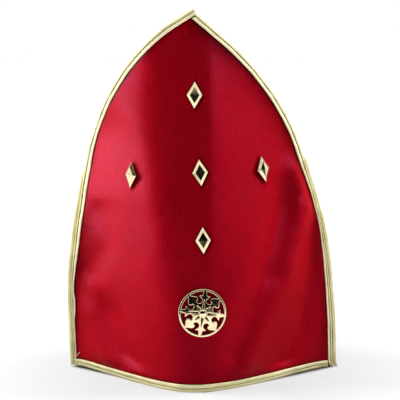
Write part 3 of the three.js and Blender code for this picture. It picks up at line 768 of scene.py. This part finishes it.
# stitches along the groove on both faces of a tape: spindles of radius r sqrt(1 - b t^2), with t
# from -1 to 1 along each stitch
def makeStitches(name, half, line, along, seed):
    rows, around = stitch["rows"], stitch["around"]
    places = np.arange(stitch["ends"], along[-1] - stitch["ends"], tape["stitchPitch"])
    t = np.linspace(-1, 1, rows)
    run = (places[:, None] + t * stitch["length"] / 2)[:, :, None]
    line = [np.interp(run, along, values) for values in line]
    turn = fullTurn(around)
    radius = (stitch["radius"] * np.sqrt(1 - stitch["blunt"] * t**2))[:, None]
    share = 0.5 + radius * np.cos(turn) / tape["width"]
    rise = tapeHeight(tape["width"] / 2, run, seed) + radius * np.sin(turn)
    first = np.arange(len(places))[:, None, None] * rows * around
    points, faces = [], []
    for side in (1, -1):
        place = tapePoint(half, line, share, side * rise)
        for shape in sweepFaces(place[0]):
            faces += (shape + first + len(points) * place[..., 0].size).reshape(-1, shape.shape[1]).tolist()
        points.append(place.reshape(-1, 3))
    piece = makePiece(name, np.concatenate(points), faces, thread)
    return piece


# a finely stepped value, respaced evenly along the line of places that it makes
def evenStations(half, values, x, z):
    run = runLength(halfPoint(half, x, z, 0)) / mm
    return np.interp(np.linspace(0, run[-1], int(run[-1] / tape["spacing"])), run, values)


# a side tape from the hem up: at the peak the left one runs on, and the right one stops square to it
def makeSideTape(name, half, hand, seed, nodes):
    peak, width, gap = hatForm["peak"], tape["width"], hatForm["gap"]
    top = innerTop = peak + tape["peakLap"]
    if hand > 0:
        clear = width + 3 * gap
        tilt = math.atan(float(edgeHalf(half, hand, np.array(peak - 1.0))))  # of the edge at the peak
        stops = clear / math.sin(2 * tilt), (clear + width * math.cos(2 * tilt)) / math.sin(2 * tilt)
        top, innerTop = (peak - stop * math.cos(tilt) for stop in stops)
    z = np.linspace(0, top, tape["fineSteps"])
    z = evenStations(half, z, hand * edgeHalf(half, hand, z), z)
    x, innerZ = hand * edgeHalf(half, hand, z), z * innerTop / top
    innerX, inX, inZ, _ = edgeInward(half, hand, innerZ)
    face = tapeWidth(half, hand, innerZ)
    endX, endZ = innerX + face * inX, innerZ + face * inZ
    if hand < 0 and not half["lapped"]:  # the left corner: the hem tape runs out below the side tape
        kept = np.minimum(z, endZ) > width + gap
        x, z, endX, endZ = x[kept], z[kept], endX[kept], endZ[kept]
    endZ = np.maximum(endZ, 0)
    if hand > 0:  # the right corner: ends cut on a slant and curled outward
        cut = tape["slantCut"]
        endZ = endZ + cut["rise"] * np.clip(1 - endZ / cut["fade"], 0, 1)
        curl = cut["curl"] * np.clip(1 - z / cut["curlFrom"], 0, 1) ** 2
        x, endX = x + curl, endX + curl
    return makeTape(name, half, (x, z, endX, endZ), seed, nodes)


# a hem tape between the side tapes, or out to the left edge of the front
def makeHemTape(name, half, seed, nodes):
    hem = np.zeros(1)
    low, high = (edgeHalf(half, hand, hem) - tapeWidth(half, hand, hem) - hatForm["gap"] for hand in (-1, 1))
    if not half["lapped"]:
        low = edgeHalf(half, -1, hem) - hatForm["gap"]
    x = np.linspace(-low[0], high[0], tape["fineSteps"])
    x = evenStations(half, x, x, 0)
    return makeTape(name, half, (x, 0 * x, x, 0 * x + tape["width"]), seed, nodes)


tapes = {}
for key, half, seed in (("front", frontHalf, 0.4), ("back", backHalf, 2.9)):
    tapes[key] = makeSideTape(key + "LeftTape", half, -1, seed, [key + "_edge_left"])
    tapes[key] += makeSideTape(key + "RightTape", half, 1, seed + 1.3, [key + "_edge_right"])
    tapes[key] += makeHemTape(key + "HemTape", half, seed + 2.1, [key + "_hem_tape"])
print("tapes and stitches made")

threadTail = {
    # x, z and height over the cloth's middle
    "path": ((-120.6, 7.8, 1.4), (-119.8, 9.2, 2.6), (-118.2, 11.0, 3.2), (-116.6, 12.8, 3.4), (-115.0, 14.6, 3.0)),
    "radius": 0.36,
    "rows": 25,
    "around": 8,
}


# the tail left at the end of the seam: a circle carried along a line of places
def makeThreadTail(tail):
    knots = halfPoint(frontHalf, *np.array(tail["path"]).T)
    t = np.linspace(0, len(knots) - 1, tail["rows"])
    line = np.stack([np.interp(t, np.arange(len(knots)), axis) for axis in knots.T], -1)
    ahead = unit(np.gradient(line, axis=0))
    aside = unit(np.cross(ahead, (0, -1, 0)))
    over = np.cross(aside, ahead)
    turn = fullTurn(tail["around"])[None, :, None]
    points = line[:, None] + tail["radius"] * mm * (aside[:, None] * np.cos(turn) + over[:, None] * np.sin(turn))
    sides, ends = sweepFaces(points)
    piece = makePiece("threadTail", points, sides.tolist() + ends.tolist(), tailThread)
    return piece


tapes["front"].append(makeThreadTail(threadTail))
print("thread tail made")


# a seat on the front cloth: origin just over it, and right, up and out directions
def seatOnFront(x, z, turn):
    lift = hatForm["clothHalf"] + hatForm["gap"]
    east = slope(lambda at: halfPoint(frontHalf, at, z, lift), x)
    north = slope(lambda at: halfPoint(frontHalf, x, at, lift), z)
    out = unit(np.cross(east, north))
    right = unit(np.cross(north, out))
    up = np.cross(out, right)
    angle = math.radians(-turn)
    turnedRight = right * math.cos(angle) + up * math.sin(angle)
    turnedUp = up * math.cos(angle) - right * math.sin(angle)
    return halfPoint(frontHalf, x, z, lift), np.stack([turnedRight, turnedUp, out])


# a rhombus carried up a stepped profile and closed by a low four-sided point
def makeStud(node, x, z, turn):
    corners = np.array([(0.5, 0), (0, 0.5), (-0.5, 0), (0, -0.5)]) * (studs["width"], studs["height"])
    rings = [np.column_stack([corners * share, np.full(4, rise)]) for share, rise in studs["profile"]]
    local = np.concatenate(rings + [np.array([(0, 0, studs["apex"])])])
    origin, axes = seatOnFront(x, z, turn)
    faces = gridFaces(len(rings), 4, closed=True).tolist()
    top = 4 * (len(rings) - 1)
    faces += [[top + i, top + (i + 1) % 4, top + 4] for i in range(4)] + [[3, 2, 1, 0]]
    word, place = node.split("_")
    piece = makePiece(word + place.capitalize(), origin + local @ axes * mm, faces, metal, smooth=False)
    bevel = piece.modifiers.new("rounded edges", "BEVEL")
    bevel.width = studs["edgeRound"] * mm
    bevel.segments = studs["edgeSteps"]
    bevel.limit_method = "ANGLE"
    bevel.angle_limit = math.radians(studs["edgeAngle"])
    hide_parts(node)


for node, (x, z, turn, _) in studs["places"].items():
    makeStud(node, x, z, turn)
print("studs made")

medallion = {
    "place": (1.2, 71.0, 10),  # x from the middle line, z, turn clockwise
    "radius": 21.4,
    "ringInner": 19.4,
    "thickness": 1.3,
    "dome": 2.4,
    "hub": (3.4, 1.3),  # radius and rise
    "bite": (12.3, 2.85),  # round end of each gap: distance from the middle, radius
    "biteAngles": (165, 330, 14),  # from, to and steps
    # half outlines of the arms: distance from the middle, and half width
    "lilySide": (
        (19.8, 1.0), (17.6, 1.9), (16.2, 1.7), (15.5, 2.4), (15.6, 4.9), (14.4, 4.8), (13.2, 2.9), (12.0, 2.2),
    ),
    "leafSide": ((19.8, 0.8), (18.0, 1.9), (16.0, 4.3), (14.0, 5.2), (12.4, 4.5), (11.6, 2.7)),
    "slits": ((4.2, 12.0, 0.95), (4.2, 8.6, 0.85)),  # lily arm and leaf arm: from, to, half width
    "slitWaist": 0.55,  # share of the width halfway along
    "slitTip": 0.12,
    "ringSteps": 16,
    "roughSteps": (0.9, 0.6),  # gaps and slits before their corners are rounded
    "outlineStep": 0.22,
    "rimRound": 0.65,
    "rimDrop": 0.5,
    "rowDepths": (0.14, 0.34, 0.6),  # rows of points just inside the metal, along every outline
    "rowRoom": 0.93,
    "fill": (0.55, 0.866),  # spacing of the other points, and of their rows in spacings
    "fillRoom": (0.85, 0.3),  # kept clear beside the outlines and the hub
    "hubRings": (1.02, 0.99, 0.93, 0.8, 0.6, 0.35, 0.12),  # shares of the hub's radius
    "hubSteps": 40,
    "sharpAngle": 50,
}


def circle(angles):
    return np.column_stack([np.cos(angles), np.sin(angles)])


# points spaced evenly along a closed outline
def evenOutline(points, step):
    ring = np.vstack([points, points[:1]])
    run = runLength(ring)
    t = np.linspace(0, run[-1], max(int(run[-1] / step), 8), endpoint=False)
    return np.column_stack([np.interp(t, run, ring[:, 0]), np.interp(t, run, ring[:, 1])])


# an outline at a rough step with its corners cut twice, each side keeping its middle half
def roundOutline(points, rough, step):
    points = evenOutline(points, rough)
    for _ in range(2):
        after = np.roll(points, -1, 0)
        points = np.stack([0.75 * points + 0.25 * after, 0.25 * points + 0.75 * after], 1).reshape(-1, 2)
    return evenOutline(points, step)


def turned(points, angle):
    c, s = math.cos(angle), math.sin(angle)
    return np.asarray(points) @ np.array([(c, s), (-s, c)])


# one gap between a lily arm along +y and the leaf arm an eighth of a turn clockwise: down the
# lily's side, round the bite, up the leaf's side and back along the ring
def gapOutline(look):
    lily = np.array([(half, along) for along, half in look["lilySide"]])
    leaf = turned([(-half, along) for along, half in look["leafSide"]][::-1], -math.pi / 4)
    place, radius = look["bite"]
    middle = place * np.array([math.sin(math.pi / 8), math.cos(math.pi / 8)])
    bite = middle + radius * circle(np.radians(np.linspace(*look["biteAngles"])))
    start = math.atan2(leaf[-1][0], leaf[-1][1])
    end = math.atan2(lily[0][0], lily[0][1])
    sweep = np.linspace(start, end, look["ringSteps"])
    ring = look["ringInner"] * np.column_stack([np.sin(sweep), np.cos(sweep)])
    return np.vstack([lily, bite, leaf, ring])


# even-odd test of many points against many closed outlines, one outline at a time
def insideAny(points, outlines):
    found = np.zeros(len(points), bool)
    for ring in outlines:
        a, b = ring, np.roll(ring, -1, 0)
        spans = (a[:, 1] > points[:, 1:2]) != (b[:, 1] > points[:, 1:2])
        rise = np.where(b[:, 1] == a[:, 1], 1e-9, b[:, 1] - a[:, 1])
        cross = a[:, 0] + (points[:, 1:2] - a[:, 1]) / rise * (b[:, 0] - a[:, 0])
        found |= (np.sum(spans & (points[:, :1] < cross), 1) % 2) == 1
    return found


def awayFrom(points, edges):
    return np.min(np.hypot(points[:, None, 0] - edges[None, :, 0], points[:, None, 1] - edges[None, :, 1]), 1)


# the disc's rim, eight gaps between the arms and a slit in each arm
def medallionOutlines(look):
    step = look["outlineStep"]
    gapStep, slitStep = look["roughSteps"]
    gap = roundOutline(gapOutline(look), gapStep, step)
    holes = []
    for i in range(4):
        holes += [turned(side, -i * math.pi / 2) for side in (gap, (gap * (-1, 1))[::-1])]
    for i in range(8):
        low, high, half = look["slits"][i % 2]
        waist, middle, tip = half * look["slitWaist"], (low + high) / 2, look["slitTip"]
        slit = np.array([(-half, low), (half, low), (waist, middle), (tip, high), (-tip, high), (-waist, middle)])
        holes.append(turned(roundOutline(slit, slitStep, step), -i * math.pi / 4))
    return look["radius"] * circle(fullTurn(int(2 * math.pi * look["radius"] / step))), holes


# points of the metal between the outlines: rows along each of them, an even fill, and rings on the hub
def medallionPoints(look, rim, holes):
    edges = np.vstack([rim] + holes)
    found = []
    for ring in [rim] + holes:
        along = np.roll(ring, -1, 0) - np.roll(ring, 1, 0)
        normal = np.column_stack([along[:, 1], -along[:, 0]]) / np.hypot(*along.T)[:, None]
        for depth in look["rowDepths"]:
            for side in (-1, 1):
                row = ring + side * depth * normal
                found.append(row[awayFrom(row, edges) > depth * look["rowRoom"]])
    radius, hub = look["radius"], look["hub"][0]
    spacing, rowShare = look["fill"]
    gridX, gridY = np.meshgrid(np.arange(-radius, radius, spacing), np.arange(-radius, radius, spacing * rowShare))
    gridX = gridX + (np.arange(len(gridX)) % 2)[:, None] * spacing / 2
    fill = np.column_stack([gridX.ravel(), gridY.ravel()])
    edgeRoom, hubRoom = look["fillRoom"]
    found.append(fill[(awayFrom(fill, edges) > edgeRoom) & (np.hypot(*fill.T) > hub + hubRoom)])
    found = np.vstack(found)
    found = found[(np.hypot(*found.T) < radius) & ~insideAny(found, holes)]
    turn = circle(fullTurn(look["hubSteps"]))
    return np.vstack([found] + [hub * share * turn for share in look["hubRings"]])


# the pierced disc: its outlines and inner points are joined to triangles, then raised to a dome
# whose edges round down, and closed by walls and a plain back
def makeMedallion(look):
    rim, holes = medallionOutlines(look)
    outlines = [rim] + holes
    edges = np.vstack(outlines)
    points = np.vstack([edges, medallionPoints(look, rim, holes)])
    bars, first = [], 0
    for ring in outlines:
        i = first + np.arange(len(ring))
        bars += np.column_stack([i, np.roll(i, -1)]).tolist()
        first += len(ring)
    found = delaunay_2d_cdt([Vector(p) for p in points.tolist()], bars, [], 0, 1e-7)
    flat = np.array([(p.x, p.y) for p in found[0]])
    triangles = np.array([list(face) for face in found[2]])
    triangles = triangles[~insideAny(flat[triangles].mean(1), holes)]
    reach = np.hypot(*flat.T)
    away = np.minimum(awayFrom(flat, edges) / look["rimRound"], 1)
    hubRadius, hubRise = look["hub"]
    back = look["dome"] * (1 - (reach / look["radius"]) ** 2)
    cup = np.sqrt(np.clip(1 - (reach / hubRadius) ** 2, 0, 1)) * hubRise
    front = back + look["thickness"] - look["rimDrop"] * (1 - np.sqrt(1 - (1 - away) ** 2)) + cup
    count = len(flat)
    sides = triangles[:, [[0, 1], [1, 2], [2, 0]]].reshape(-1, 2)
    _, index, uses = np.unique(np.sort(sides, 1), axis=0, return_index=True, return_counts=True)
    border = sides[index[uses == 1]]
    walls = np.column_stack([border[:, 1], border[:, 0], border[:, 0] + count, border[:, 1] + count])
    faces = triangles.tolist() + (triangles[:, ::-1] + count).tolist() + walls.tolist()
    local = np.concatenate([np.column_stack([flat, front]), np.column_stack([flat, back])])
    origin, axes = seatOnFront(*look["place"])
    piece = makePiece("piercedMedallion", origin + local @ axes * mm, faces, metal, sharpAngle=look["sharpAngle"])
    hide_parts("medallion")


makeMedallion(medallion)
print("medallion made")

studio = {
    "world": {"cloth": 0.06, "gloss": 0.95, "camera": 1.0},  # brightness by what looks at it
    # arcs of card that only mirror in the hat: name, radius and height at both rims, angles from straight
    # ahead, glow
    "cards": (
        ("darkCard", (0.52, 0.52), (0.05, 0.47), (-37, 35), 0),
        ("leftDark", (0.52, 0.52), (0.14, 0.47), (-47, -37), 0),
        ("rightDark", (0.52, 0.52), (0.14, 0.47), (35, 61), 0),
        ("rightLower", (0.52, 0.52), (0.06, 0.14), (50, 72), 0),
        ("frontGlow", (0.55, 0.085), (0.001, 0.001), (-42, 38), 1.1),
        ("leftFloor", (0.50, 0.06), (0.001, 0.001), (-140, -46), 0.2),
        ("rightFloor", (1.50, 0.06), (0.001, 0.001), (68, 150), 0.1),
    ),
    "cardSteps": 25,
    "floorHalf": 9,
    "floorShades": (0.13, 0.1274),
    "floorGlow": (0.0, 0.38, 0.51, 0.97),  # distances from the middle, and the glow at both: the lower glow near the hat is painted shade
    "footprint": (0.128, 0.084, 1.08),  # half sizes and power of the hat's plan, where the floor has no glow: a painted shadow under the hat
    "footprintEdge": (0.94, 1.01),
    # name, pieces it shines on, soft or gloss only, place, aimed at, width, height, watts
    "lights": (
        ("left", "all", "soft", (-0.62, 0.07, 0.68), (0, 0, 0.27), 0.30, 0.40, 15.5),
        ("right", "all", "soft", (0.50, 0.115, 0.74), (0.02, -0.04, 0.34), 0.24, 0.40, 11.5),
        ("top", "all", "soft", (0, 0.35, 1.5), (0, 0, 0), 1.2, 0.8, 3),
        ("leftSheen", "satin", "gloss", (-0.75, -0.05, 0.42), (0, 0, 0.22), 0.36, 0.50, 20),
        ("rightSheen", "satin", "gloss", (0.64, -0.26, 0.70), (0, 0, 0.22), 0.40, 0.40, 17),
        ("leftGlint", "gold", "gloss", (-0.60, -0.25, 0.55), (0, 0, 0.20), 0.50, 0.90, 2.2),
        ("rightGlint", "gold", "gloss", (0.60, -0.20, 0.55), (0, 0, 0.20), 0.50, 0.90, 3),
        ("leftLow", "gold", "gloss", (-0.36, -0.10, 0.004), (-0.36, -0.099, 1.0), 0.50, 0.60, 0.5),
        ("rightLow", "gold", "gloss", (0.70, -0.10, 0.004), (0.70, -0.099, 1.0), 1.30, 1.30, 2.6),
        ("tapeFill", "gold", "soft", (-0.1, -1.0, 0.60), (0, 0, 0.15), 1.0, 1.0, 6),
    ),
}


# the world's brightness for the cloth, replaced for mirrors and then for the camera
def makeWorld(levels):
    sky = Nodes(bpy.data.worlds.new("studio"), "Background")
    scene.world = sky.owner
    rays = sky.add("LightPath")
    level = levels["cloth"]
    for ray, name in (("Is Glossy Ray", "gloss"), ("Is Camera Ray", "camera")):
        level = sky.spread(rays.outputs[ray], 0, 1, level, levels[name])
    sky.set(Strength=level, Color=(1, 1, 1, 1))


# a card: a strip between two level arcs about the hat
def makeCard(name, radii, heights, angles, glow):
    steps = studio["cardSteps"]
    turn = np.radians(np.linspace(*angles, steps))
    radius, height = (np.array(ends)[:, None] for ends in (radii, heights))
    arc = np.stack(np.broadcast_arrays(radius * np.sin(turn), -radius * np.cos(turn), height), -1)
    felt = Nodes(bpy.data.materials.new(name))
    felt.set(Base_Color=(0, 0, 0, 1), Roughness=1, Specular_IOR_Level=0)
    felt.set(Emission_Color=(1, 1, 1, 1), Emission_Strength=glow)
    screen = addMesh(name, arc, gridFaces(2, steps).tolist(), felt.owner)
    for seenBy in ("camera", "diffuse", "shadow", "transmission", "volume_scatter"):
        setattr(screen, "visible_" + seenBy, False)


# a pale floor that glows more with the distance from the middle, a painted shade about the hat, and not inside the
# footprint, where |x/a|^p + |y/b|^p is below 1, a painted shadow under the hat
def makeFloor(setup):
    pale = Nodes(bpy.data.materials.new("pale floor"))
    shades = ((shade, shade, shade, 1) for shade in setup["floorShades"])
    *halves, power = setup["footprint"]
    reach = []
    for letter, half in zip("XY", halves):
        share = pale.math("DIVIDE", pale.math("ABSOLUTE", pale.axis("Object", letter)), half)
        reach.append(pale.math("POWER", share, power))
    # no glow inside the footprint: the painted shadow under the hat and along its hem
    outside = pale.spread(pale.math("ADD", *reach), *setup["footprintEdge"], 0, 1)
    away = pale.add("VectorMath", {0: pale.coords("Object")}, operation="LENGTH").outputs["Value"]
    pale.set(Base_Color=pale.mixColour(pale.noise(3, 2), *shades), Roughness=0.7, Specular_IOR_Level=0.2)
    glow = pale.math("MULTIPLY", pale.spread(away, *setup["floorGlow"]), outside)
    pale.set(Emission_Color=(1, 1, 1, 1), Emission_Strength=glow)
    corners = setup["floorHalf"] * np.array([(-1, -1, 0), (1, -1, 0), (1, 1, 0), (-1, 1, 0)])
    floor = addMesh("floor", corners, [(0, 1, 2, 3)], pale.owner)


# area lights: a soft one gives no mirror image, and a gloss one nothing else
def makeLights(rows):
    lit = {}
    for key, look in (("satin", satin), ("gold", gold)):
        lit[key] = bpy.data.collections.new(key + " pieces")
        for piece in scene.objects:
            if piece.type == "MESH" and piece.active_material == look:
                lit[key].objects.link(piece)
    for name, shinesOn, way, place, target, width, height, watts in rows:
        data = bpy.data.lights.new(name, "AREA")
        data.shape = "RECTANGLE"
        data.size, data.size_y, data.energy = width, height, watts
        light = bpy.data.objects.new(name, data)
        light.location = place
        light.rotation_euler = (Vector(target) - Vector(place)).to_track_quat("-Z", "Y").to_euler()
        light.visible_camera = False
        light.visible_diffuse, light.visible_glossy = way == "soft", way == "gloss"
        if shinesOn in lit:
            light.light_linking.receiver_collection = lit[shinesOn]
        scene.collection.objects.link(light)


makeWorld(studio["world"])
for card in studio["cards"]:
    makeCard(*card)
makeFloor(studio)
makeLights(studio["lights"])
scene.view_settings.view_transform = "Standard"
print("studio lit")
